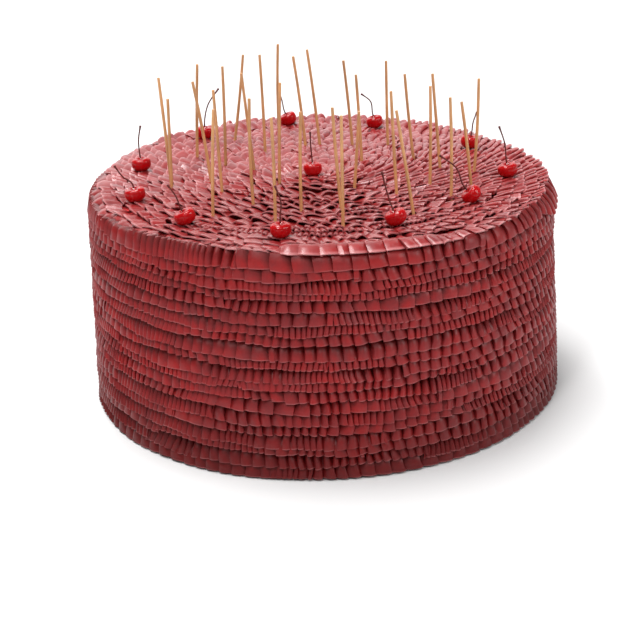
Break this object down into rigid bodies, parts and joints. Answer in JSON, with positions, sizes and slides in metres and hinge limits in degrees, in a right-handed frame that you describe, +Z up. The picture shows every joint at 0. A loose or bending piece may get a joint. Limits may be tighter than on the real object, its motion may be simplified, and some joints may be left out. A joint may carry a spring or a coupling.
{
  "type": "black forest cake",
  "caption": "Tall round celebration cake covered in pleated dark red icing ruffles, topped with stemmed glossy cherries and thin unlit candles.",
  "frame": {"origin": "centre of the flat base, on the surface that the cake stands on", "axes": "+Z up through the cake's middle, -Y towards the front, +X to the right"},
  "size_m": [0.4556, 0.4556, 0.3077],
  "materials": {
    "ruffle_icing": "soft satin icing, dark red",
    "cherry_glaze": "wet gloss, bright red",
    "cherry_stem": "dull dark red-brown stalk",
    "candle_wax": "satin ochre wax"
  },
  "bodies": {
    "root": {"ruffled_cake": "ruffle_icing", "cherry_01": "cherry_glaze", "cherry_02": "cherry_glaze", "cherry_03": "cherry_glaze", "cherry_04": "cherry_glaze", "cherry_05": "cherry_glaze", "cherry_06": "cherry_glaze", "cherry_07": "cherry_glaze", "cherry_08": "cherry_glaze", "cherry_09": "cherry_glaze", "cherry_10": "cherry_glaze", "cherry_11": "cherry_glaze", "cherry_12": "cherry_glaze", "cherry_stem_01": "cherry_stem", "cherry_stem_02": "cherry_stem", "cherry_stem_03": "cherry_stem", "cherry_stem_04": "cherry_stem", "cherry_stem_05": "cherry_stem", "cherry_stem_06": "cherry_stem", "cherry_stem_07": "cherry_stem", "cherry_stem_08": "cherry_stem", "cherry_stem_09": "cherry_stem", "cherry_stem_10": "cherry_stem", "cherry_stem_11": "cherry_stem", "cherry_stem_12": "cherry_stem", "candle_01": "candle_wax", "candle_02": "candle_wax", "candle_03": "candle_wax", "candle_04": "candle_wax", "candle_05": "candle_wax", "candle_06": "candle_wax", "candle_07": "candle_wax", "candle_08": "candle_wax", "candle_09": "candle_wax", "candle_10": "candle_wax", "candle_11": "candle_wax", "candle_12": "candle_wax", "candle_13": "candle_wax", "candle_14": "candle_wax", "candle_15": "candle_wax", "candle_16": "candle_wax", "candle_17": "candle_wax", "candle_18": "candle_wax", "candle_19": "candle_wax", "candle_20": "candle_wax", "candle_21": "candle_wax", "candle_22": "candle_wax", "candle_23": "candle_wax", "candle_24": "candle_wax", "candle_25": "candle_wax", "candle_26": "candle_wax", "candle_27": "candle_wax", "candle_28": "candle_wax", "candle_29": "candle_wax", "candle_30": "candle_wax", "candle_31": "candle_wax"}
  },
  "joints": []
}
